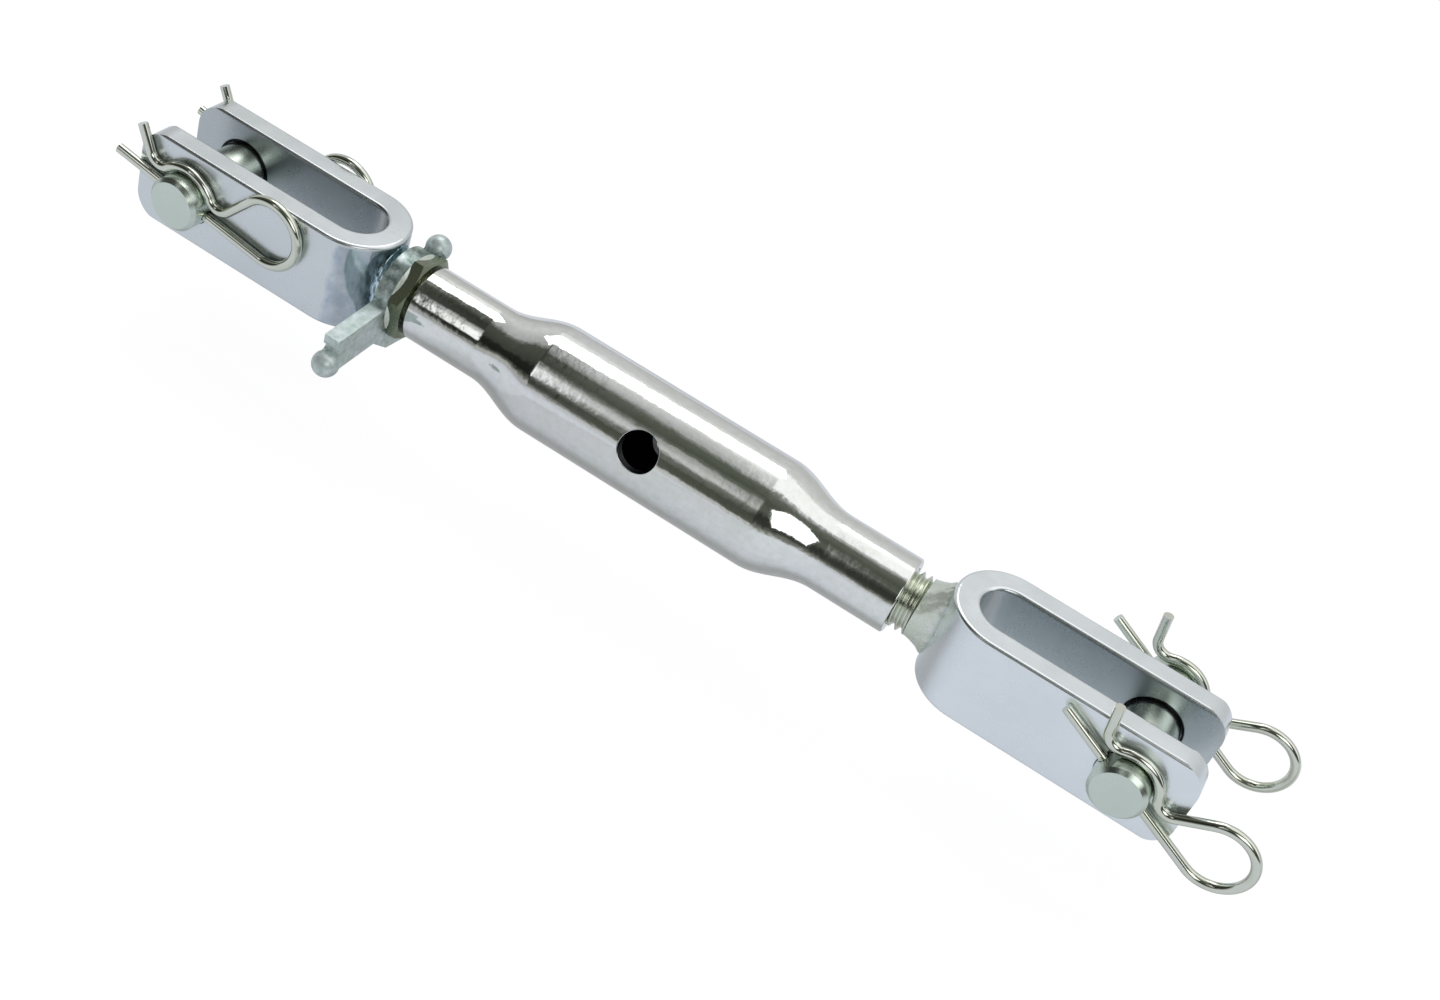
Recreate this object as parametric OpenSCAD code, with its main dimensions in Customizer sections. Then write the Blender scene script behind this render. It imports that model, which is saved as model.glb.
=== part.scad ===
// Tractor leveling arm: a swaged sleeve with a clevis fork screwed into each end,
// a lock nut with a lever, and a cross-drilled pin with two spring clips in each fork.
// Millimetres. X runs along the arm, Y along the clevis pins, Z is up.
// The origin is the centre of the sleeve.

/* [Sleeve] */
// Length of the sleeve from end to end
sleeve_length = 216; // [190:1:280]
// Outside diameter of the wide middle of the sleeve
sleeve_od = 45; // [42:0.5:52]
// Outside diameter of the swaged ends
swage_od = 31; // [30:0.5:36]
// Wall of the wide middle of the sleeve
sleeve_wall = 5; // [3:0.5:6]
// Length of the straight part of each swaged end
swage_straight = 31; // [28:1:40]
// Length of the flare between a swaged end and the wide middle
swage_flare = 28; // [20:1:34]
// Diameter of the cross hole for the tommy bar
tommy_d = 16; // [12:0.5:20]
// Angle of the tommy-bar hole above the horizontal, towards the front
tommy_angle = 24; // [0:1:60]

/* [Threaded shanks] */
// Major diameter of the thread on the shanks
thread_d = 24; // [20:0.5:25]
// Running clearance between the thread and its bores, on the radius
thread_play = 0.06; // [0.03:0.01:0.1]
// Length of each shank inside the sleeve
shank_inside = 73; // [45:1:85]
// Length of the chamfer on the inner end of each shank
shank_chamfer = 2; // [1:0.5:3]
// Gap between the lever and the foot of the left shank
left_open = 0.4; // [0.3:0.1:20]
// Bare thread between the right end of the sleeve and the foot of the right shank
right_open = 7.2; // [1:0.1:40]

/* [Shank feet] */
// Length of the foot of the left shank, from the thread to the crest of the fork
left_foot_length = 2; // [1.5:0.1:12]
// Half height of the left foot on the crest of the fork
left_foot_height = 15; // [13:0.5:19]
// Half width of the left foot on the crest of the fork
left_foot_width = 9; // [6:0.5:11.5]
// Length of the foot of the right shank, from the thread to the crest of the fork
right_foot_length = 8; // [1.5:0.1:12]
// Half height of the right foot on the crest of the fork
right_foot_height = 18; // [13:0.5:19]
// Half width of the right foot on the crest of the fork
right_foot_width = 7.5; // [6:0.5:11.5]

/* [Forks] */
// Width of the flat bar that the forks are bent from
strap_width = 40; // [36:1:50]
// Thickness of that bar
strap_thickness = 10; // [7:0.5:12]
// Clear gap between the two legs of a fork
fork_gap = 22.5; // [22:0.5:30]
// Distance from the crest of a fork to the centre of its pin
crest_to_pin = 84; // [70:1:110]
// Distance from the centre of the pin to the tip of a leg
pin_to_tip = 24; // [20:1:30]
// Radius of the corners at the tips
tip_corner = 11; // [4:1:16]
// Radius of the rounded edges of the flat bar
bar_edge_r = 1.4; // [0.5:0.1:2.5]
// Clearance of the pin in the holes of the legs, on the radius
eye_play = 0.3; // [0.1:0.05:0.8]

/* [Pins] */
// Diameter of the clevis pins
pin_d = 22; // [18:0.5:24]
// Length of a pin that stands out of its fork
pin_stand = 9.8; // [8:0.1:14]
// Extra length of the right pin, at its back end
right_pin_extra = 12; // [0:1:16]
// Chamfer on both ends of a pin
pin_chamfer = 1.5; // [0.5:0.5:3]
// Gap between a clip and the leg of the fork beside it
clip_gap = 0.25; // [0.2:0.05:1]
// Clearance of the clip wire in the cross hole, on the radius
clip_play = 0.3; // [0.2:0.05:0.5]

/* [Spring clips] */
// Diameter of the clip wire
wire_d = 4; // [3:0.25:4.5]
// Radius of the ring of a clip, to the middle of the wire
ring_r = 13.5; // [11:0.5:15]
// Distance from the centre of the pin to the centre of the ring
ring_reach = 38.5; // [36:0.5:48]
// Length of the straight leg beyond the centre of the pin
leg_beyond = 33; // [22:1:38]
// Radius of the two small bends beside the hump
bend_r = 6; // [5:0.5:8]
// Height of the small bends above the straight leg, to the middle of the wire
bend_height = 6.5; // [5:0.1:8]
// Slope of the free end of the sprung leg
tail_slope = 54; // [40:1:75]
// Length of the straight free end of the sprung leg
tail_length = 11; // [6:1:16]
// Tilt of the clips in the left fork
left_clip_tilt = -8.5; // [-40:0.5:40]
// Tilt of the clips in the right fork
right_clip_tilt = -28; // [-40:0.5:40]

/* [Lock nut and lever] */
// Size of the lock nut across its flats
nut_across_flats = 32; // [30:0.5:38]
// Thickness of the lock nut
nut_thickness = 5.5; // [5:0.1:9]
// Gap between the lock nut and the end of the sleeve
nut_gap = 1.5; // [0.3:0.1:3]
// Turn of the nut about the arm, away from flats up and down
nut_turn = 13; // [0:1:60]
// Thickness of the lever plate
lever_thickness = 6.6; // [4:0.1:8]
// Width of the long arm of the lever
arm_width = 15; // [12:0.5:18]
// Drop of the middle of the long arm below the thread, measured at the thread
arm_drop = 5.6; // [0:0.1:8]
// Slope of the long arm, down to the front
arm_slope = 2.5; // [0:0.5:15]
// Distance from the thread to the end of the long arm
arm_reach = 45.5; // [36:0.5:60]
// Diameter of the ball knobs at the ends of the lever
knob_d = 10.6; // [10:0.1:14]
// Distance that the centre of the long arm's knob lies beyond its end
knob_beyond = 1.5; // [0:0.1:4]
// Drop of that knob below the middle of the long arm
knob_drop = 4.3; // [0:0.1:6]
// Diameter of the notch above that knob
notch_d = 3.2; // [1:0.1:5]
// Distance from the thread to the centre of the short arm's knob
short_reach = 21.8; // [20:0.1:34]
// Width of the short arm
short_width = 7; // [5:0.5:10]
// Slope of the short arm, up to the back
short_slope = 33; // [0:1:60]
// Distance from the thread to the foot of the stop lug under the lever
lug_reach = 22.6; // [20:0.1:28]
// Half width of the foot of the stop lug
lug_half = 8.2; // [5:0.1:12]
// Length over which the front of the stop lug slopes up to the long arm
lug_run = 11; // [6:0.5:14]
// Turn of the stop lug about the thread
lug_turn = 7; // [0:1:20]

/* [Welds] */
// Leg length of the weld between the lever and the lock nut
lever_weld_leg = 1.4; // [1:0.1:2]

/* [Hidden] */

$fn = 96;
weld_fn = 360;
flare_steps = 12;
cut = 1;
seat = 0.05;
hair = 0.04;
sink = 0.3;

half_sleeve = sleeve_length / 2;
flare_end = half_sleeve - swage_straight - swage_flare;
thread_bore_r = thread_d / 2 + thread_play;
nut_right = -half_sleeve - nut_gap;
nut_left = nut_right - nut_thickness;
lever_right = nut_left;
lever_left = lever_right - lever_thickness;
nut_corner_r = nut_across_flats / 2 / cos(30);
eye_rim_r = nut_across_flats / 2 + lever_weld_leg + hair;

left_foot_x = lever_left - left_open;
right_foot_x = half_sleeve + right_open;
left_crest = left_foot_x - left_foot_length;
right_crest = right_foot_x + right_foot_length;
bend_inner_r = fork_gap / 2;
bend_outer_r = bend_inner_r + strap_thickness;
bend_mid_r = bend_inner_r + strap_thickness / 2;
fork_length = crest_to_pin + pin_to_tip;
eye_r = pin_d / 2 + eye_play;
left_pin_x = left_crest - crest_to_pin;
right_pin_x = right_crest + crest_to_pin;
pin_end_y = bend_outer_r + pin_stand;
clip_y = bend_outer_r + clip_gap + wire_d / 2;

hump_r = pin_d / 2 + clip_play + wire_d / 2;
bend_centre_q = bend_height + bend_r;
bend_centre_p = sqrt(pow(hump_r + bend_r, 2) - pow(bend_centre_q, 2));
bend_angle = atan2(bend_centre_q, bend_centre_p);
ring_gap_p = ring_reach - bend_centre_p;
ring_gap_q = ring_r - bend_centre_q;
ring_gap = sqrt(pow(ring_gap_p, 2) + pow(ring_gap_q, 2));
ring_line = atan2(ring_gap_q, ring_gap_p);
tangent_turn = acos((ring_r + bend_r) / ring_gap);
sink_angle = sink / hump_r * 180 / PI;

// Turns a shape drawn along Z so that it lies along X
module along_x() rotate([0, 90, 0]) children();

// Turns a shape drawn along Z so that it lies along Y
module along_y() rotate([-90, 0, 0]) children();

// Smooth step from 0 to 1 for the flare of the sleeve
function smooth(t) = (1 - cos(180 * t)) / 2;

// Outer radius of the flare at a share t of its length, from the narrow end
function flare_r(t, narrow, wide) = narrow + (wide - narrow) * smooth(t);

// Profile points of one surface of the sleeve, from its left end to its right end
function sleeve_line(narrow, wide) = concat(
    [for (i = [0:flare_steps]) [flare_r(i / flare_steps, narrow, wide),
        -flare_end - swage_flare + swage_flare * i / flare_steps]],
    [for (i = [flare_steps:-1:0]) [flare_r(i / flare_steps, narrow, wide),
        flare_end + swage_flare - swage_flare * i / flare_steps]]);

// Solid of revolution about X inside one profile line, with straight ends added
module sleeve_body(narrow, wide, half) {
    line = sleeve_line(narrow, wide);
    along_x() rotate_extrude()
        polygon(concat([[0, -half], [narrow, -half]], line, [[narrow, half], [0, half]]));
}

module sleeve() {
    color("gainsboro") difference() {
        sleeve_body(swage_od / 2, sleeve_od / 2, half_sleeve);
        sleeve_body(thread_bore_r, sleeve_od / 2 - sleeve_wall, half_sleeve + cut);
        rotate([-tommy_angle, 0, 0]) along_y()
            cylinder(d = tommy_d, h = sleeve_od + 2 * cut, center = true);
    }
}

// Stands an outline drawn in X and Y up in the YZ plane and gives it a thickness along X
module plate(thickness) rotate([90, 0, 90]) linear_extrude(thickness) children();

// Side outline of a fork that points along +X, with round corners at the tips
module fork_side() {
    translate([-cut, -strap_width / 2 - cut])
        square([fork_length - tip_corner + cut, strap_width + 2 * cut]);
    translate([0, -strap_width / 2 + tip_corner]) square([fork_length, strap_width - 2 * tip_corner]);
    for (side = [-1, 1])
        translate([fork_length - tip_corner, side * (strap_width / 2 - tip_corner)])
            circle(r = tip_corner);
}

// Section of the flat bar, thickness along X and width along Y, with rounded edges
module bar_section() {
    square([strap_thickness - 2 * bar_edge_r, strap_width], center = true);
    square([strap_thickness, strap_width - 2 * bar_edge_r], center = true);
    for (x = [-1, 1], y = [-1, 1])
        translate([x * (strap_thickness / 2 - bar_edge_r), y * (strap_width / 2 - bar_edge_r)])
            circle(r = bar_edge_r);
}

// A fork that points along +X, with its crest at X = 0
module fork() {
    difference() {
        intersection() {
            union() {
                translate([bend_outer_r, 0, 0]) rotate([0, 0, 90]) rotate_extrude(angle = 180)
                    translate([bend_mid_r, 0]) bar_section();
                for (side = [-1, 1]) translate([bend_outer_r, 0, 0])
                    plate(fork_length - bend_outer_r) translate([side * bend_mid_r, 0]) bar_section();
            }
            rotate([90, 0, 0]) translate([0, 0, -bend_outer_r - cut])
                linear_extrude(2 * (bend_outer_r + cut)) fork_side();
        }
        translate([crest_to_pin, 0, 0]) along_y()
            cylinder(r = eye_r, h = 2 * (bend_outer_r + cut), center = true);
    }
}

module left_fork() color("lightsteelblue") translate([left_crest, 0, 0]) mirror([1, 0, 0]) fork();

module right_fork() color("lightsteelblue") translate([right_crest, 0, 0]) fork();

// A shank that points along -X into the sleeve and ends at X = 0, where its foot begins
module shank(reach) {
    inside = reach + shank_inside;
    translate([-inside + shank_chamfer, 0, 0]) along_x()
        cylinder(d = thread_d, h = inside - shank_chamfer - seat);
    translate([-inside, 0, 0]) along_x()
        cylinder(d1 = thread_d - 2 * shank_chamfer, d2 = thread_d, h = shank_chamfer);
}

module left_shank() color("darkseagreen") translate([left_foot_x, 0, 0]) mirror([1, 0, 0])
    shank(-left_foot_x - half_sleeve);

module right_shank() color("darkseagreen") translate([right_foot_x, 0, 0]) shank(right_open);

// Foot of a shank along -X, welded to the crest of its fork at X = 0. It flares up and down
// and is flattened in front and behind.
module shank_foot(length, height, width) {
    set_back = bend_outer_r - sqrt(pow(bend_outer_r, 2) - pow(width, 2));
    difference() {
        intersection() {
            translate([-length, 0, 0]) along_x() {
                cylinder(r1 = thread_d / 2, r2 = height, h = length);
                translate([0, 0, length]) cylinder(r = height, h = set_back);
            }
            translate([0, 0, -height - cut]) linear_extrude(2 * (height + cut))
                polygon([[-length, thread_d / 2], [set_back, width],
                    [set_back, -width], [-length, -thread_d / 2]]);
        }
        translate([bend_outer_r, 0, 0])
            cylinder(r = bend_outer_r + seat, h = strap_width + 2 * cut, center = true);
    }
}

module left_foot() color("darkkhaki") translate([left_crest, 0, 0]) mirror([1, 0, 0])
    shank_foot(left_foot_length, left_foot_height, left_foot_width);

module right_foot() color("darkkhaki") translate([right_crest, 0, 0])
    shank_foot(right_foot_length, right_foot_height, right_foot_width);

// Hexagon along X that the nut is cut from, with its flats grown by a clearance
module nut_hexagon(grown, length) {
    rotate([nut_turn, 0, 0]) along_x() cylinder(r = nut_corner_r + grown, h = length, $fn = 6);
}

// Hexagon nut with both faces chamfered at its corners, screwed up against the left end of the sleeve
module lock_nut() {
    bevel = nut_corner_r - nut_across_flats / 2;
    color("olivedrab") translate([nut_left, 0, 0]) difference() {
        intersection() {
            nut_hexagon(0, nut_thickness);
            along_x() rotate_extrude() polygon([
                [0, 0], [nut_corner_r, 0], [nut_corner_r, nut_thickness - bevel / 2],
                [nut_corner_r - bevel, nut_thickness], [0, nut_thickness]]);
        }
        translate([-cut, 0, 0]) along_x() cylinder(r = thread_bore_r, h = nut_thickness + 2 * cut);
    }
}

// Outline of the lever plate in the YZ plane: eye, long arm to the front, short arm to the back
// and a stop lug below
module lever_outline() {
    circle(r = eye_rim_r);
    rotate(short_slope) translate([0, -short_width / 2]) square([short_reach, short_width]);
    rotate(-lug_turn) polygon([[-lug_half - lug_run, -eye_rim_r + cut], [-lug_half, -lug_reach],
        [lug_half, -lug_reach], [eye_rim_r - cut, -lug_half], [0, 0]]);
    translate([0, -arm_drop]) rotate(arm_slope) difference() {
        translate([-arm_reach, -arm_width / 2]) square([arm_reach, arm_width]);
        translate([-arm_reach, notch_d / 2]) circle(d = notch_d);
    }
}

module lock_lever() {
    middle = lever_left + lever_thickness / 2;
    color("silver") difference() {
        union() {
            translate([lever_left, 0, 0]) plate(lever_thickness) lever_outline();
            translate([middle, 0, -arm_drop]) rotate([arm_slope, 0, 0])
                translate([0, -arm_reach - knob_beyond, -knob_drop]) sphere(d = knob_d);
            translate([middle, 0, 0]) rotate([short_slope, 0, 0])
                translate([0, short_reach, 0]) sphere(d = knob_d);
        }
        translate([lever_left - cut, 0, 0]) along_x()
            cylinder(r = thread_bore_r, h = lever_thickness + 2 * cut);
        translate([lever_right, 0, 0]) along_x()
            cylinder(r = nut_corner_r + lever_weld_leg, h = knob_d);
    }
}

// Beads along the flats of the lock nut, on the eye of the lever
module lever_weld() {
    inner_r = nut_across_flats / 2 - lever_weld_leg;
    color("darkkhaki") translate([lever_right, 0, 0]) difference() {
        along_x() rotate_extrude($fn = weld_fn) polygon([[inner_r, 0],
            [nut_across_flats / 2 + lever_weld_leg, 0], [inner_r, 2 * lever_weld_leg]]);
        translate([-cut, 0, 0]) nut_hexagon(seat, 4 * lever_weld_leg);
    }
}

// Clevis pin along Y with chamfered ends and a cross hole near each end, drilled at a tilt.
// The back end stands out further by the extra length.
module clevis_pin(tilt, extra) {
    length = 2 * pin_end_y + extra;
    difference() {
        translate([0, -pin_end_y, 0]) along_y() rotate_extrude() polygon([
            [0, 0], [pin_d / 2 - pin_chamfer, 0], [pin_d / 2, pin_chamfer],
            [pin_d / 2, length - pin_chamfer], [pin_d / 2 - pin_chamfer, length], [0, length]]);
        for (y = [-clip_y, clip_y + extra]) translate([0, y, 0]) rotate([0, -tilt, 0]) along_x()
            cylinder(r = wire_d / 2 + clip_play, h = pin_d + 2 * cut, center = true);
    }
}

module left_pin() color("lightgray") translate([left_pin_x, 0, 0]) clevis_pin(left_clip_tilt, 0);

module right_pin() color("lightgray") translate([right_pin_x, 0, 0])
    clevis_pin(right_clip_tilt, right_pin_extra);

// Straight wire in the XY plane, from a point, at an angle. It is a hair thinner than the
// bends and sinks a little into them, so that the two never share a surface.
module wire_straight(from, angle, length) {
    translate(from) rotate([0, 0, angle]) translate([-sink, 0, 0]) along_x()
        cylinder(d = wire_d - hair, h = length + 2 * sink);
}

// Bent wire in the XY plane, round a centre, counter-clockwise from an angle
module wire_bend(centre, radius, from, sweep, thickness = wire_d) {
    translate(centre) rotate([0, 0, from]) rotate_extrude(angle = sweep)
        translate([radius, 0]) circle(d = thickness, $fn = 32);
}

// Spring clip in the XZ plane: straight leg along X through the pin, ring towards +X,
// and a sprung leg that humps over the pin and ends in a flared tail
module spring_clip() {
    ring_leave = ring_line + 180 - tangent_turn;
    leave = [cos(ring_leave), sin(ring_leave)];
    ring_exit = [ring_reach, ring_r] + ring_r * leave;
    neck_entry = [bend_centre_p, bend_centre_q] - bend_r * leave;
    neck_length = norm(neck_entry - ring_exit);
    tail_angle = -90 - tail_slope;
    tail_from = [-bend_centre_p, bend_centre_q] + bend_r * [cos(tail_angle), sin(tail_angle)];
    hump_from = bend_angle - sink_angle;
    rotate([90, 0, 0]) {
        wire_straight([-leg_beyond, 0], 0, leg_beyond + ring_reach);
        wire_bend([ring_reach, ring_r], ring_r, -90, ring_leave + 90);
        wire_straight(ring_exit, ring_leave + 90, neck_length);
        wire_bend([bend_centre_p, bend_centre_q], bend_r, 180 + bend_angle, ring_leave - bend_angle);
        wire_bend([0, 0], hump_r, hump_from, 180 - 2 * hump_from, wire_d - hair);
        wire_bend([-bend_centre_p, bend_centre_q], bend_r, tail_angle, -bend_angle - tail_angle);
        wire_straight(tail_from, 180 - tail_slope, tail_length);
    }
}

// A spring clip through the cross hole at y of the pin at x, with its ring tilted up or down
module placed_clip(x, y, tilt) color("silver") translate([x, y, 0]) rotate([0, -tilt, 0]) spring_clip();

module left_front_clip() placed_clip(left_pin_x, -clip_y, left_clip_tilt);

module left_back_clip() placed_clip(left_pin_x, clip_y, left_clip_tilt);

module right_front_clip() placed_clip(right_pin_x, -clip_y, right_clip_tilt);

module right_back_clip() placed_clip(right_pin_x, clip_y + right_pin_extra, right_clip_tilt);

sleeve();
left_fork();
right_fork();
left_shank();
right_shank();
left_foot();
right_foot();
lock_nut();
lock_lever();
lever_weld();
left_pin();
right_pin();
left_front_clip();
left_back_clip();
right_front_clip();
right_back_clip();
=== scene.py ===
import math

import bmesh
import bpy
from mathutils import Matrix, Vector, noise


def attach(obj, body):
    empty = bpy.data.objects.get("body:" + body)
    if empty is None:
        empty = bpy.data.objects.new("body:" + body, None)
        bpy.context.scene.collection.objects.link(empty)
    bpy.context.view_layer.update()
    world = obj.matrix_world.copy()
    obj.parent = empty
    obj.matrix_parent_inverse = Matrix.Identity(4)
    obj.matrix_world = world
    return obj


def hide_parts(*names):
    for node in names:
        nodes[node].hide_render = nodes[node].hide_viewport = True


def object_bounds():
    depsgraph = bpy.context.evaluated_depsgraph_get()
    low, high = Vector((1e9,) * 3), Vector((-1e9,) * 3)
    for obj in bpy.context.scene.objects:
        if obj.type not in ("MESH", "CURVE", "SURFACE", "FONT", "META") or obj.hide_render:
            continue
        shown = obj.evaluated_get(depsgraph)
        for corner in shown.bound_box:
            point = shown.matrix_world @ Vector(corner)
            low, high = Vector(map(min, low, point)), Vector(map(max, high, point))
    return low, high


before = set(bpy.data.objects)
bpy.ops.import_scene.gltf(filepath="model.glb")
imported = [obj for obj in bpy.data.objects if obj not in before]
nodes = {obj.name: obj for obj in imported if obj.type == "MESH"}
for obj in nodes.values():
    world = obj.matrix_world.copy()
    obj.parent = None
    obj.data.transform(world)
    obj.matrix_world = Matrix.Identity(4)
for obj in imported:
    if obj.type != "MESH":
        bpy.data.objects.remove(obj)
cad_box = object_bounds()

scene = bpy.context.scene
scene.view_settings.view_transform = "Standard"

# Sizes of the part as it is drawn, in metres. The arm lies along X, with the middle of the sleeve at 0.
SLEEVE_HALF = 0.108
# Outside radius of the narrow ends and of the middle, and then the same for the inside
SWAGE_R, SLEEVE_R = 0.0155, 0.0225
BORE_R, HOLLOW_R = 0.01206, 0.0175
# Distance from the middle at which a flare is narrow, and at which it has its full width
FLARE_START, FLARE_END = 0.077, 0.049
TOMMY_R = 0.008
TOMMY_ANGLE = math.radians(24.0)
THREAD_R = 0.012
THREAD_PITCH = 0.003
SHANK_INSIDE = 0.073
LEFT_FOOT_X, RIGHT_FOOT_X = -0.122, 0.1152
LEFT_CREST, RIGHT_CREST = -0.124, 0.1232
# Outside radius of a fork's bend, and the distance of its centre from the middle of the arm
BEND_R = 0.02125
BEND_CENTRE = 0.1449
FORK_HALF_HEIGHT = 0.02
GAP_HALF = 0.01125
LEFT_PIN_X, RIGHT_PIN_X = -0.208, 0.2072
PIN_R = 0.011
# Room below the part for the turned lever and the pulled clips
FLOOR_DROP = 0.035

# What the metal mirrors: grey levels over the angle about the arm in degrees, where 0 is the horizon in
# front, 90 is overhead and 180 is the horizon behind. Each list belongs to one direction along the arm.
FAR_LEFT = (
    (-180, 0.42), (-20, 0.45), (8, 0.45), (16, 0.10), (24, 0.012), (42, 0.015), (50, 0.05), (86, 0.08),
    (98, 0.42), (140, 0.70), (180, 0.46),
)
LEFT = (
    (-180, 0.50), (-20, 0.55), (4, 0.58), (9, 0.03), (22, 0.008), (25, 0.25), (28, 1.20), (43, 1.20),
    (50, 0.55), (59, 0.05), (80, 0.03), (100, 0.10), (126, 0.22), (134, 1.00), (140, 0.90), (150, 0.62),
    (180, 0.50),
)
MIDDLE = (
    (-180, 0.52), (-20, 0.50), (-4, 0.62), (3, 0.55), (10, 0.09), (21, 0.07), (30, 0.20), (38, 0.60),
    (44, 0.58), (53, 0.18), (62, 0.08), (78, 0.12), (86, 0.44), (100, 0.64), (110, 1.02), (132, 0.94),
    (147, 0.68), (170, 0.58), (180, 0.52),
)
RIGHT = (
    (-180, 0.58), (-20, 0.62), (-2, 0.66), (4, 0.20), (14, 0.04), (28, 0.03), (40, 0.11), (57, 0.08),
    (74, 0.14), (81, 0.30), (87, 1.10), (125, 1.12), (133, 0.72), (160, 0.58), (180, 0.58),
)
# Where the X of the direction passes from one list to the next
PASSAGES = ((-0.385, -0.355, LEFT), (-0.335, -0.275, MIDDLE), (-0.19, -0.10, RIGHT))


def place_mesh(name, mesh):
    """Object for a mesh, at the origin of the part."""
    obj = bpy.data.objects.new(name, mesh)
    scene.collection.objects.link(obj)
    return obj


# Camera

def make_camera():
    """Camera at the viewing angle of the photograph."""
    # Focal length and width of the photograph, both in its pixels
    focal, width = 1816.0, 1440.0
    place = (0.15808, -0.51140, 0.42671)
    right = Vector((0.83560, 0.46133, 0.29824))
    down = Vector((0.51654, -0.47505, -0.71240))
    forward = Vector((-0.18698, 0.74933, -0.63525))
    data = bpy.data.cameras.new("camera")
    data.sensor_fit = "HORIZONTAL"
    data.sensor_width = 36.0
    data.lens = focal / width * 36.0
    data.clip_start = 0.02
    data.clip_end = 50.0
    camera = bpy.data.objects.new("camera", data)
    turn = Matrix((right, -down, -forward)).transposed().to_4x4()
    camera.matrix_world = Matrix.Translation(place) @ turn
    scene.collection.objects.link(camera)
    scene.camera = camera


# Node helpers

class Tree:
    """Short calls for building a node tree."""

    def __init__(self, tree):
        self.tree = tree
        self.nodes = tree.nodes
        self.nodes.clear()

    def add(self, kind, **settings):
        node = self.nodes.new(kind)
        for key, value in settings.items():
            setattr(node, key, value)
        return node

    def link(self, out, into):
        self.tree.links.new(out, into)

    def feed(self, value, socket):
        """Links an output, or sets a plain value."""
        if isinstance(value, bpy.types.NodeSocket):
            self.link(value, socket)
        else:
            socket.default_value = value

    def math(self, operation, a, b=0.0, c=0.0, clamp=False):
        node = self.add("ShaderNodeMath", operation=operation, use_clamp=clamp)
        for value, socket in zip((a, b, c), node.inputs):
            self.feed(value, socket)
        return node.outputs[0]

    def times(self, first, *others):
        """Product of all the values."""
        for other in others:
            first = self.math("MULTIPLY", first, other)
        return first

    def above(self, value, limit, rate):
        """0 up to the limit, and from there a climb at this rate up to 1."""
        return self.math("MULTIPLY", self.math("SUBTRACT", value, limit), rate, clamp=True)

    def below(self, value, limit, rate):
        """0 down to the limit, and from there a climb at this rate up to 1."""
        return self.math("MULTIPLY", self.math("SUBTRACT", limit, value), rate, clamp=True)

    def split(self, vector):
        """X, Y and Z of a vector."""
        node = self.add("ShaderNodeSeparateXYZ")
        self.link(vector, node.inputs[0])
        return tuple(node.outputs)

    def distance(self, a, b):
        """Length of the line that has these two legs."""
        legs = self.add("ShaderNodeCombineXYZ")
        self.link(a, legs.inputs[0])
        self.link(b, legs.inputs[1])
        node = self.add("ShaderNodeVectorMath", operation="LENGTH")
        self.link(legs.outputs[0], node.inputs[0])
        return node.outputs["Value"]

    def mix(self, factor, a, b, blend="MIX"):
        node = self.add("ShaderNodeMix", data_type="RGBA", blend_type=blend)
        self.feed(factor, node.inputs["Factor"])
        self.feed(a, node.inputs[6])
        self.feed(b, node.inputs[7])
        return node.outputs[2]

    def ramp(self, factor, stops):
        node = self.add("ShaderNodeValToRGB")
        elements = node.color_ramp.elements
        while len(elements) > 1:
            elements.remove(elements[-1])
        elements[0].position, elements[0].color = stops[0]
        for position, color in stops[1:]:
            elements.new(position).color = color
        self.feed(factor, node.inputs[0])
        return node.outputs[0]

    def noise(self, vector, scale, detail=3.0, roughness=0.55):
        node = self.add("ShaderNodeTexNoise")
        self.link(vector, node.inputs["Vector"])
        node.inputs["Scale"].default_value = scale
        node.inputs["Detail"].default_value = detail
        node.inputs["Roughness"].default_value = roughness
        return node.outputs["Fac"]

    def span(self, value, low, high):
        """Maps a noise value from about 0.3 to 0.7 on to low to high."""
        node = self.add("ShaderNodeMapRange", clamp=True)
        self.link(value, node.inputs["Value"])
        node.inputs["From Min"].default_value = 0.3
        node.inputs["From Max"].default_value = 0.7
        node.inputs["To Min"].default_value = low
        node.inputs["To Max"].default_value = high
        return node.outputs[0]

    def emission(self, color, strength):
        node = self.add("ShaderNodeEmission")
        node.inputs["Color"].default_value = color
        self.feed(strength, node.inputs["Strength"])
        return node.outputs[0]

    def diffuse(self, level):
        node = self.add("ShaderNodeBsdfDiffuse")
        node.inputs["Color"].default_value = grey(level)
        return node.outputs[0]

    def sum(self, a, b):
        """Two shaders added up."""
        node = self.add("ShaderNodeAddShader")
        self.link(a, node.inputs[0])
        self.link(b, node.inputs[1])
        return node.outputs[0]

    def mirrored(self):
        """1 for rays that a surface mirrors or lets through."""
        ray = self.add("ShaderNodeLightPath").outputs
        return self.math("MAXIMUM", ray["Is Glossy Ray"], ray["Is Transmission Ray"])

    def seen(self):
        """1 for rays from the camera."""
        return self.add("ShaderNodeLightPath").outputs["Is Camera Ray"]


def grey(value, tint=(1.0, 1.0, 1.0)):
    return (value * tint[0], value * tint[1], value * tint[2], 1.0)


# Studio

def mirrored_stops(levels):
    """Stops for a ramp from -180 to 180 degrees. The darkest levels are tinted a little olive."""
    stops = []
    for degrees, value in levels:
        dark = min(max((0.3 - value) / 0.2, 0.0), 1.0)
        tint = (1.0 - 0.04 * dark, 1.0 + 0.06 * dark, 1.0 - 0.15 * dark)
        stops.append(((degrees + 180.0) / 360.0, grey(value, tint)))
    return stops


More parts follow.
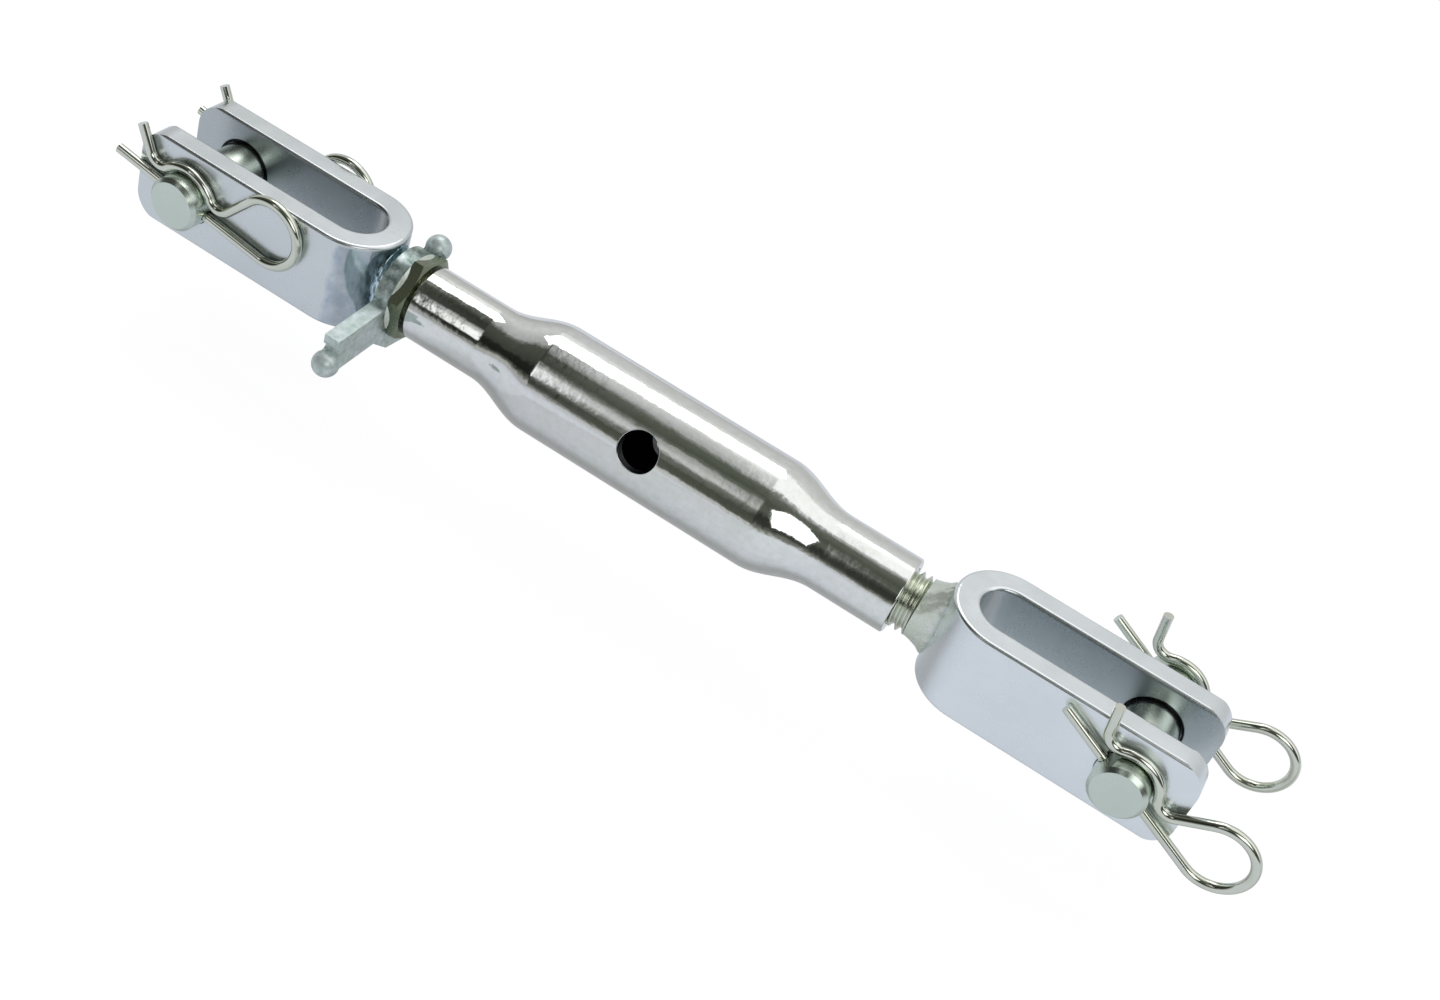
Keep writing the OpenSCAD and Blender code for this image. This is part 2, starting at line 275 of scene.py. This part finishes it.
def make_world():
    """White for the camera and an even light for diffuse surfaces. Glossy and transmission rays see
    that pale background with dark flags along the arm and a bright strip between them, as the metal
    in the photograph mirrors them."""
    even_light = 0.52
    # Swing of the flags' borders, as an angle in radians
    swing = 0.4
    world = bpy.data.worlds.new("studio")
    world.use_nodes = True
    scene.world = world
    t = Tree(world.node_tree)
    direction = t.add("ShaderNodeTexCoord").outputs["Generated"]
    x, y, z = t.split(direction)
    angle = t.math("ARCTAN2", z, t.math("MULTIPLY", y, -1.0))
    wobble = t.math("MULTIPLY_ADD", t.noise(direction, 9.0, 4.0, 0.6), swing, -swing / 2.0)
    turn = t.math("MULTIPLY_ADD", t.math("ADD", angle, wobble), 1.0 / (2.0 * math.pi), 0.5)
    color = t.ramp(turn, mirrored_stops(FAR_LEFT))
    for low, high, levels in PASSAGES:
        share = t.above(x, low, 1.0 / (high - low))
        color = t.mix(share, color, t.ramp(turn, mirrored_stops(levels)))
    color = t.mix(t.mirrored(), grey(even_light), color)
    background = t.add("ShaderNodeBackground")
    t.link(t.mix(t.seen(), color, grey(1.0)), background.inputs["Color"])
    background.inputs["Strength"].default_value = 1.0
    out = t.add("ShaderNodeOutputWorld")
    t.link(background.outputs[0], out.inputs["Surface"])


def make_floor(level):
    """Plain pale floor. The camera sees it nearly white, with the soft shadow of the arm on it.
    In the metal it glows pale and a little blue, a painted light that is brighter to the right, with a
    painted shadow below the arm."""
    reach = 6.0
    corners = [(-reach, -reach), (reach, -reach), (reach, reach), (-reach, reach)]
    mesh = bpy.data.meshes.new("floor")
    mesh.from_pydata([(x, y, level) for x, y in corners], [], [(0, 1, 2, 3)])
    floor = place_mesh("floor", mesh)
    material = bpy.data.materials.new("floor")
    material.use_nodes = True
    t = Tree(material.node_tree)
    along, across, _ = t.split(t.add("ShaderNodeNewGeometry").outputs["Position"])
    # 0 below the sleeve and 1 below the forks
    outer = t.above(t.math("ABSOLUTE", along), 0.112, 50.0)
    # Share of the painted glow that is left in the painted shadow below the arm and beside it
    edge = t.math("MULTIPLY_ADD", outer, 0.20, -0.50)
    beside = t.math("ADD", t.math("MULTIPLY", t.math("ABSOLUTE", across), 34.0), edge, clamp=True)
    share = t.math("MAXIMUM", beside, t.math("MULTIPLY_ADD", outer, 0.15, 0.20))
    # Painted light: the glow's level below the sleeve, which rises to the right, and its even level below
    # the forks
    rising = t.math("MULTIPLY_ADD", along, 0.6, 0.25)
    inner_level = t.math("MINIMUM", t.math("MAXIMUM", rising, 0.18), 0.32)
    to_outer = t.math("SUBTRACT", 0.30, inner_level)
    strength = t.math("ADD", inner_level, t.math("MULTIPLY", outer, to_outer))
    # Painted light and shadow: for mirrored rays only, the floor glows at this level, less in the strip
    # below the arm.
    painted_glow = t.emission(grey(1.0, (0.90, 0.985, 1.17)), t.times(strength, share, t.mirrored()))
    in_metal = t.sum(t.diffuse(0.62), painted_glow)
    in_camera = t.sum(t.diffuse(0.20), t.emission(grey(1.0), 0.885))
    pick = t.add("ShaderNodeMixShader")
    t.link(t.seen(), pick.inputs[0])
    t.link(in_metal, pick.inputs[1])
    t.link(in_camera, pick.inputs[2])
    out = t.add("ShaderNodeOutputMaterial")
    t.link(pick.outputs[0], out.inputs["Surface"])
    mesh.materials.append(material)


def make_lamp(name, place, size, power):
    """Rectangular lamp that points at the middle of the part."""
    data = bpy.data.lights.new(name, "AREA")
    data.shape = "RECTANGLE"
    data.size, data.size_y = size
    data.energy = power
    lamp = bpy.data.objects.new(name, data)
    lamp.location = place
    lamp.rotation_euler = (-Vector(place)).to_track_quat("-Z", "Y").to_euler()
    scene.collection.objects.link(lamp)


# Materials

def zinc(name, color, tint, rough, metallic=1.0, stretch=(1.0, 1.0, 1.0), grain=900.0, cloud=45.0,
         bump=0.02, stain=0.5, fleck=0.25, wave=0.0, marks_and_painted_light=None):
    """Zinc plating: a cloudy tone, a stain of the passivation, fine grain in gloss and relief.
    bump and wave are heights in millimetres. The last argument adds the traces of the assembly to the tone
    and the gloss, and also painted shade and painted reflections to the tone."""
    material = bpy.data.materials.new(name)
    material.use_nodes = True
    t = Tree(material.node_tree)
    place = t.add("ShaderNodeTexCoord").outputs["Object"]
    mapping = t.add("ShaderNodeMapping")
    mapping.inputs["Scale"].default_value = stretch
    t.link(place, mapping.inputs["Vector"])
    drawn = mapping.outputs[0]
    clouds = t.noise(drawn, cloud, 4.0, 0.6)
    stains = t.noise(place, cloud * 0.45, 3.0, 0.5)
    fine = t.noise(drawn, grain, 3.0, 0.6)
    tone = t.mix(t.span(clouds, 0.0, 1.0), grey(0.93, color), grey(1.0, color))
    tone = t.mix(t.span(stains, 0.0, stain), tone, (*tint, 1.0), "MULTIPLY")
    grained = t.span(fine, rough * (1.0 - fleck), rough * (1.0 + fleck))
    gloss = t.math("MULTIPLY", grained, t.span(clouds, 0.85, 1.2))
    if marks_and_painted_light:
        # The function in the last argument also paints shade and reflections into the tone.
        tone, gloss = marks_and_painted_light(t, place, tone, gloss)
    height = t.math("ADD", fine, t.math("MULTIPLY", clouds, 2.0))
    if wave:
        waves = t.math("MULTIPLY", t.noise(place, 230.0, 2.0, 0.5), wave / bump)
        height = t.math("ADD", height, waves)
    relief = t.add("ShaderNodeBump")
    relief.inputs["Strength"].default_value = 0.5
    relief.inputs["Distance"].default_value = bump * 0.001
    t.link(height, relief.inputs["Height"])
    shader = t.add("ShaderNodeBsdfPrincipled")
    shader.inputs["Metallic"].default_value = metallic
    t.link(tone, shader.inputs["Base Color"])
    t.link(gloss, shader.inputs["Roughness"])
    t.link(relief.outputs[0], shader.inputs["Normal"])
    out = t.add("ShaderNodeOutputMaterial")
    t.link(shader.outputs[0], out.inputs["Surface"])
    return material


def sleeve_blotches_and_hole_shade(t, place, tone, gloss):
    """Small olive blotches all over, and painted shade, near black and rougher, in the wall of the cross
    hole.
    """
    blotch = t.span(t.noise(place, 330.0, 3.0, 0.65), 0.0, 1.0)
    blotched = t.mix(blotch, (0.93, 0.945, 0.905, 1.0), (1.05, 1.05, 1.065, 1.0))
    tone = t.mix(1.0, tone, blotched, "MULTIPLY")
    x, y, z = t.split(place)
    lip, hole_reach = 0.0006, 0.03
    # Painted shade: the wall of each cross hole, up to its lip, is darkened nearly to black.
    painted_hole_shade = t.below(t.distance(y, z), SLEEVE_R - lip, 6000.0)
    painted_hole_shade = t.math("MULTIPLY", painted_hole_shade, t.math("LESS_THAN", t.math("ABSOLUTE", x), hole_reach))
    tone = t.mix(painted_hole_shade, tone, (0.03, 0.03, 0.03, 1.0))
    return tone, t.math("MULTIPLY", gloss, t.math("MULTIPLY_ADD", painted_hole_shade, 5.0, 1.0))


def fork_painted_light(t, place, tone, gloss):
    """Painted shade inside the fork and over the left fork, a painted shadow for the gap above each pin in
    its hole, and on the left bend behind the lever a dark painted reflection of the lever, with more gloss."""
    x, y, z = t.split(place)
    # The inside of a fork is a slot with a round end at the bend
    past_bend = t.math("MAXIMUM", t.math("SUBTRACT", BEND_CENTRE, t.math("ABSOLUTE", x)), 0.0)
    inside = t.math("LESS_THAN", t.distance(past_bend, y), GAP_HALF + 0.0005)
    # Painted shade: the inside of each slot is darker and a little green.
    tone = t.mix(t.math("MULTIPLY", inside, 0.26), tone, (0.0, 0.03, 0.03, 1.0))
    # Painted shade: the whole left fork is a little darker than the right one.
    left = t.math("LESS_THAN", x, 0.0)
    tone = t.mix(t.math("MULTIPLY", left, 0.14), tone, (0.0, 0.0, 0.0, 1.0))
    # Painted shadow of the gap round each pin: a near-black ring a little above the pin's own centre, so
    # that the gap is widest on top
    ring_width, ring_rise = 0.0013, 0.0005
    height = t.math("SUBTRACT", z, ring_rise)
    for pin_x in (LEFT_PIN_X, RIGHT_PIN_X):
        away = t.distance(t.math("SUBTRACT", x, pin_x), height)
        painted_gap_shadow = t.math("MULTIPLY", t.below(away, PIN_R + ring_width, 2500.0), inside)
        tone = t.mix(painted_gap_shadow, tone, (0.012, 0.014, 0.016, 1.0))
    # Painted reflection of the lever: the left bend, up to a ragged edge, on its front and sides but not on
    # its top, is blotchy dark blue and glossier
    ragged = t.math("MULTIPLY_ADD", t.noise(place, 160.0, 3.0, 0.6), 0.006, -0.003)
    painted_lever_reflection = t.above(t.math("ADD", x, ragged), -0.1415, 420.0)
    painted_lever_reflection = t.times(painted_lever_reflection, left, t.below(y, 0.006, 200.0), t.below(z, 0.0185, 1500.0))
    blotch = t.span(t.noise(place, 190.0, 3.0, 0.6), 0.3, 0.85)
    tone = t.mix(t.math("MULTIPLY", painted_lever_reflection, blotch), tone, (0.36, 0.44, 0.53, 1.0))
    return tone, t.math("MULTIPLY", gloss, t.math("MULTIPLY_ADD", painted_lever_reflection, -0.55, 1.0))


def lever_marks(t, place, tone, gloss):
    """Patchy plating, and dark blotches round the hub of the lever, where it was welded to the nut."""
    hub_r = 0.0205
    _, y, z = t.split(place)
    hub = t.below(t.distance(y, z), hub_r, 400.0)
    patches = t.span(t.noise(place, 330.0, 2.0, 0.6), 0.0, 1.0)
    patchy = t.mix(patches, (0.72, 0.78, 0.76, 1.0), (1.12, 1.1, 1.14, 1.0))
    tone = t.mix(1.0, tone, patchy, "MULTIPLY")
    blotch = t.span(t.noise(place, 260.0, 3.0, 0.65), 0.0, 1.2)
    tone = t.mix(t.math("MULTIPLY", hub, blotch), tone, (0.13, 0.19, 0.17, 1.0))
    return tone, t.math("MULTIPLY", gloss, t.math("MULTIPLY_ADD", hub, -0.45, 1.0))


def dress(obj, material):
    obj.data.materials.clear()
    obj.data.materials.append(material)
    for polygon in obj.data.polygons:
        polygon.material_index = 0


# Sleeve

def flare(x, narrow, wide):
    """Radius and slope of a surface of the sleeve at x."""
    length = FLARE_START - FLARE_END
    share = min(max((FLARE_START - abs(x)) / length, 0.0), 1.0)
    radius = narrow + (wide - narrow) * (1.0 - math.cos(math.pi * share)) / 2.0
    steepness = (wide - narrow) * math.sin(math.pi * share) * math.pi / 2.0 / length
    return radius, -math.copysign(steepness, x)


class Shell:
    """A mesh whose faces carry the true normals of the surface they stand for."""

    def __init__(self):
        self.points, self.faces, self.normals = [], [], []

    def point(self, x, y, z):
        self.points.append((x, y, z))
        return len(self.points) - 1

    def face(self, corners, normals):
        """A face with one normal per corner, turned so that it looks along them."""
        a, b, c = (Vector(self.points[i]) for i in corners[:3])
        if (b - a).cross(c - b).dot(sum(normals, Vector())) < 0.0:
            corners, normals = corners[::-1], normals[::-1]
        self.faces.append(corners)
        self.normals.extend(normals)

    def build(self, name):
        mesh = bpy.data.meshes.new(name)
        mesh.from_pydata(self.points, [], self.faces)
        for polygon in mesh.polygons:
            polygon.use_smooth = True
        mesh.normals_split_custom_set([tuple(n.normalized()) for n in self.normals])
        return place_mesh(name, mesh)


def make_sleeve():
    """The sleeve as a smooth turned surface with its two cross holes, inside and outside."""
    # Faces round the sleeve, and in each flare along it
    around, flare_faces = 144, 28
    half_round = around // 2
    step = 2.0 * math.pi / around
    # Patch round a hole: half its length, the faces in that, and the faces in half its width
    patch, half_long, half_wide = 0.012, 6, 12
    rings_of_patch = 5
    bevel, soft = 0.0006, 0.0005
    centres = (0, half_round)
    stations = [-SLEEVE_HALF, -SLEEVE_HALF + bevel, -0.095, -FLARE_START]
    flare_step = (FLARE_START - FLARE_END) / flare_faces
    stations += [-FLARE_START + flare_step * i for i in range(1, flare_faces + 1)]
    stations += [-0.036, -0.024]
    stations += [-patch + patch * i / half_long for i in range(2 * half_long + 1)]
    stations += [-x for x in stations[::-1] if x < -patch - 1e-6]
    last = len(stations) - 1
    low = stations.index(-patch)
    high = low + 2 * half_long
    shell = Shell()

    def angle_of(j):
        return math.pi - TOMMY_ANGLE + step * j

    def outward(angle):
        return Vector((0.0, math.cos(angle), math.sin(angle)))

    def offsets(j):
        """Faces from the centre of each hole to j, the short way round."""
        return [(j - centre + half_round) % around - half_round for centre in centres]

    def skin(narrow, wide, side, bevelled):
        """One skin of the sleeve without its patches. side is 1 outside and -1 inside."""
        radii = []
        for i, x in enumerate(stations):
            radius, slope = flare(x, narrow, wide)
            if bevelled and i in (0, last):
                radius, slope = radius - bevel, -math.copysign(1.0, x)
            radii.append((radius, slope))
        grid = {}
        for i, x in enumerate(stations):
            for j in range(around):
                if low < i < high and any(abs(n) < half_wide for n in offsets(j)):
                    continue
                angle = angle_of(j)
                radius = radii[i][0]
                grid[i, j] = shell.point(x, radius * math.cos(angle), radius * math.sin(angle))

        def normal(i, j):
            return (outward(angle_of(j)) - Vector((radii[i][1], 0.0, 0.0))).normalized() * side

        for i in range(last):
            for j in range(around):
                if low <= i < high and any(-half_wide <= n < half_wide for n in offsets(j)):
                    continue
                k = (j + 1) % around
                corners = [(i, j), (i + 1, j), (i + 1, k), (i, k)]
                shell.face([grid[c] for c in corners], [normal(*c) for c in corners])
        return grid

    def border(centre):
        """The grid points round a patch, in order."""
        points = [(low + i, centre - half_wide) for i in range(2 * half_long)]
        points += [(high, centre - half_wide + j) for j in range(2 * half_wide)]
        points += [(high - i, centre + half_wide) for i in range(2 * half_long)]
        points += [(low, centre + half_wide - j) for j in range(2 * half_wide)]
        return points

    def fill_patch(grid, centre, radius, rim, side):
        """Rings from the border of a patch to the rim of its hole. Returns the points of the rim,
        and their places as X and angle from the hole's axis."""
        middle = angle_of(centre)
        previous = [grid[i, j % around] for i, j in border(centre)]
        flat = [(stations[i], (j - centre) * step) for i, j in border(centre)]
        before = flat
        for n in range(1, rings_of_patch + 1):
            share = n / rings_of_patch
            line, places = [], []
            for x, turn in flat:
                phi = math.atan2(SLEEVE_R * math.sin(turn), x)
                rim_x, rim_turn = rim * math.cos(phi), math.asin(rim * math.sin(phi) / radius)
                places.append((x + (rim_x - x) * share, turn + (rim_turn - turn) * share))
                angle = middle + places[-1][1]
                line.append(shell.point(places[-1][0], radius * math.cos(angle), radius * math.sin(angle)))
            for a in range(len(line)):
                b = (a + 1) % len(line)
                turns = [before[a][1], before[b][1], places[b][1], places[a][1]]
                normals = [outward(middle + turn) * side for turn in turns]
                shell.face([previous[a], previous[b], line[b], line[a]], normals)
            previous, before = line, places
        return previous, before

    outside = skin(SWAGE_R, SLEEVE_R, 1.0, True)
    inside = skin(BORE_R, HOLLOW_R, -1.0, False)
    outer_rims = [fill_patch(outside, centre, SLEEVE_R, TOMMY_R + soft, 1.0) for centre in centres]
    inner_rims = [fill_patch(inside, centre, HOLLOW_R, TOMMY_R, -1.0) for centre in centres]
    for centre, (top, top_places), (bottom, _) in zip(centres, outer_rims, inner_rims):
        # The softened lip of the hole, and then its wall
        axis = outward(angle_of(centre))
        across = axis.cross(Vector((1.0, 0.0, 0.0)))
        lip, inward, upward = [], [], []
        for x, turn in top_places:
            phi = math.atan2(SLEEVE_R * math.sin(turn), x)
            s = TOMMY_R * math.sin(phi)
            depth = math.sqrt(SLEEVE_R ** 2 - (s * (TOMMY_R + soft) / TOMMY_R) ** 2) - soft
            place = Vector((TOMMY_R * math.cos(phi), 0.0, 0.0)) - across * s + axis * depth
            lip.append(shell.point(*place))
            inward.append(Vector((-math.cos(phi), 0.0, 0.0)) + across * math.sin(phi))
            upward.append(outward(angle_of(centre) + turn))
        for a in range(len(lip)):
            b = (a + 1) % len(lip)
            shell.face([top[a], top[b], lip[b], lip[a]], [upward[a], upward[b], inward[b], inward[a]])
            shell.face([lip[a], lip[b], bottom[b], bottom[a]], [inward[a], inward[b], inward[b], inward[a]])
    for i, sign in ((0, -1.0), (last, 1.0)):
        flat_end = Vector((sign, 0.0, 0.0))
        for j in range(around):
            k = (j + 1) % around
            shell.face([outside[i, j], outside[i, k], inside[i, k], inside[i, j]], [flat_end] * 4)
    sleeve = shell.build("smooth_sleeve")
    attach(sleeve, "sleeve")
    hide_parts("sleeve")
    return sleeve


# Feet and threaded shanks

def closed_mesh(name, bm):
    """Mesh of a closed body of quads with two flat ends, smooth between the ends."""
    bmesh.ops.recalc_face_normals(bm, faces=bm.faces[:])
    mesh = bpy.data.meshes.new(name)
    bm.to_mesh(mesh)
    bm.free()
    for polygon in mesh.polygons:
        polygon.use_smooth = len(polygon.vertices) < 5
    return place_mesh(name, mesh)


def make_foot(name, node, crest, foot_x, height, width, lumps, seed):
    """Foot of a shank as a poured-looking weld: round at the thread, drawn out up and down at the fork,
    with the scallops of the weld bead along its edge. height and width are half sizes at the fork."""
    rows, around = 22, 120
    start = THREAD_R * 0.985
    # The foot stays this far below the top of the fork, and this far off the bend
    top_gap, bend_gap = 0.0003, 0.0004
    bead_place, bead_width = 0.86, 0.12
    scallops = 9.0
    reach = foot_x - crest
    bm = bmesh.new()
    lines = []
    for i in range(rows + 1):
        share = i / rows
        bead = math.exp(-((share - bead_place) / bead_width) ** 2)
        line = []
        for j in range(around):
            angle = 2.0 * math.pi * j / around
            y = (start + (width - start) * share ** 0.9) * math.cos(angle)
            z = (start + (height - start) * share ** 1.12) * math.sin(angle)
            spot = Vector((share * 3.0 + seed, math.cos(angle) * 4.0, math.sin(angle) * 4.0))
            wave = angle * scallops + share * 2.0 + 1.5 * noise.noise(spot)
            scallop = 0.55 + 0.75 * abs(math.sin(wave))
            swell = 1.0 + lumps * (bead * scallop + 0.7 * share * noise.noise(spot * 1.6)) / math.hypot(y, z)
            y, z = y * swell, z * swell
            z = math.copysign(min(abs(z), FORK_HALF_HEIGHT - top_gap), z)
            set_back = BEND_R - math.sqrt(max(BEND_R ** 2 - y ** 2, 0.0)) + bend_gap
            x = crest + reach * (1.0 - share) - math.copysign(share ** 2 * set_back, reach)
            line.append(bm.verts.new((x, y, z)))
        lines.append(line)
    for line, following in zip(lines, lines[1:]):
        for j in range(around):
            k = (j + 1) % around
            bm.faces.new((line[j], line[k], following[k], following[j]))
    bm.faces.new(lines[0])
    bm.faces.new(lines[-1])
    foot = closed_mesh(name, bm)
    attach(foot, "left_clevis" if crest < 0.0 else "right_clevis")
    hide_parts(node)
    return foot


def thread_radius(phase):
    """Radius of the thread at a share of its pitch: flat crest, straight flanks, rounded root."""
    # Depth of a metric thread as a share of its pitch
    depth = 0.6134 * THREAD_PITCH
    half_crest, flank = 0.12, 0.72
    root, root_rate = 0.8, 0.5
    away = abs((phase % 1.0) - 0.5) * 2.0
    share = min(max((away - half_crest) / flank, 0.0), 1.0)
    rounded = share if share < root else root + (share - root) * root_rate
    return THREAD_R - depth * rounded / (root + (1.0 - root) * root_rate)


def make_shank(name, node, body, start, end, hand):
    """Threaded shank along X, from its inner end to its foot. The rows of the mesh follow the helix,
    the inner end is pointed like a rolled screw, and both ends are cut flat."""
    # Rows of faces in a pitch, and faces round the shank
    rows, around = 14, 72
    point_r = 0.0102
    low, high = min(start, end), max(start, end)
    # The helix begins and ends past the cuts
    first = low - 2.5 * THREAD_PITCH
    turns = math.ceil((high - low) / THREAD_PITCH) + 5
    bm = bmesh.new()
    lines = []
    for i in range(turns * rows):
        radius = thread_radius(i / rows)
        line = []
        for j in range(around):
            angle = 2.0 * math.pi * j / around
            x = first + THREAD_PITCH * (i / rows + j / around)
            line.append(bm.verts.new((x, hand * radius * math.cos(angle), radius * math.sin(angle))))
        lines.append(line)
    for i in range(len(lines) - rows - 1):
        for j in range(around):
            # The last face of a turn closes on the row one pitch further on
            k, ahead = (j + 1, i) if j + 1 < around else (0, i + rows)
            quad = [lines[i][j], lines[ahead][k], lines[ahead + 1][k], lines[i + 1][j]]
            bm.faces.new(quad if hand > 0 else quad[::-1])
    for v in [v for v in bm.verts if not v.link_faces]:
        bm.verts.remove(v)
    outwards = 1.0 if end > start else -1.0
    for v in bm.verts:
        allowed = point_r + max((v.co.x - start) * outwards, 0.0)
        radius = math.hypot(v.co.y, v.co.z)
        if radius > allowed:
            v.co.y *= allowed / radius
            v.co.z *= allowed / radius
    for x, keep in ((low, 1.0), (high, -1.0)):
        everything = bm.verts[:] + bm.edges[:] + bm.faces[:]
        bmesh.ops.bisect_plane(bm, geom=everything, plane_co=(x, 0, 0), plane_no=(keep, 0, 0),
                               clear_inner=True)
        rim = [e for e in bm.edges if e.is_boundary and all(abs(v.co.x - x) < 1e-7 for v in e.verts)]
        bmesh.ops.edgeloop_fill(bm, edges=rim)
    shank = closed_mesh(name, bm)
    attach(shank, body)
    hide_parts(node)
    return shank


make_camera()
make_world()
make_floor(cad_box[0][2] - FLOOR_DROP)
make_lamp("key_lamp", (-0.5, 0.7, 1.3), (1.0, 0.6), 3.5)
make_lamp("fill_lamp", (0.9, -1.0, 0.9), (0.9, 0.9), 4.0)

bright = zinc("bright_zinc", (0.86, 0.865, 0.87), (0.95, 0.98, 0.90), 0.075, stretch=(0.12, 1.0, 1.0),
              grain=700.0, cloud=60.0, bump=0.018, wave=0.12, marks_and_painted_light=sleeve_blotches_and_hole_shade)
satin = zinc("satin_zinc", (0.87, 0.915, 0.935), (0.955, 0.98, 0.975), 0.27, grain=300.0, bump=0.0012,
             fleck=0.04, marks_and_painted_light=fork_painted_light)
threaded = zinc("thread_zinc", (0.74, 0.77, 0.68), (0.86, 0.92, 0.76), 0.22)
welded = zinc("weld_zinc", (0.84, 0.88, 0.85), (0.84, 0.93, 0.78), 0.26, metallic=0.45, cloud=260.0,
              bump=0.12, stain=0.9, fleck=0.1)
blue_weld = zinc("blue_weld_zinc", (0.66, 0.78, 0.84), (0.70, 0.82, 0.84), 0.11, cloud=260.0, bump=0.12,
                 stain=0.9, fleck=0.1)
nutted = zinc("nut_zinc", (0.26, 0.285, 0.215), (0.80, 0.90, 0.66), 0.26, bump=0.01)
levered = zinc("lever_zinc", (0.74, 0.81, 0.82), (0.86, 0.93, 0.84), 0.38, metallic=0.5, cloud=150.0,
               bump=0.004, stain=0.9, fleck=0.1, marks_and_painted_light=lever_marks)
pinned = zinc("pin_zinc", (0.67, 0.745, 0.68), (0.94, 0.97, 0.92), 0.24, bump=0.002, fleck=0.06)
wired = zinc("spring_wire", (0.76, 0.78, 0.72), (0.92, 0.95, 0.84), 0.10, cloud=120.0, bump=0.003,
             stain=0.8, fleck=0.1)

dress(make_sleeve(), bright)
dress(make_shank("left_screw", "left_shank", "left_rod", SHANK_INSIDE - SLEEVE_HALF, LEFT_FOOT_X, -1.0),
      threaded)
dress(make_shank("right_screw", "right_shank", "right_rod", SLEEVE_HALF - SHANK_INSIDE, RIGHT_FOOT_X, 1.0),
      threaded)
dress(make_foot("left_weld_foot", "left_foot", LEFT_CREST, LEFT_FOOT_X, height=0.0172, width=0.0098,
                lumps=0.0009, seed=3.0), blue_weld)
dress(make_foot("right_weld_foot", "right_foot", RIGHT_CREST, RIGHT_FOOT_X, height=0.0178, width=0.0080,
                lumps=0.0005, seed=8.0), welded)

LOOKS = {
    "left_fork": satin,
    "right_fork": satin,
    "lever_weld": welded,
    "lock_nut": nutted,
    "lock_lever": levered,
    "left_pin": pinned,
    "right_pin": pinned,
    "left_front_clip": wired,
    "left_back_clip": wired,
    "right_front_clip": wired,
    "right_back_clip": wired,
}
for node, material in LOOKS.items():
    dress(nodes[node], material)
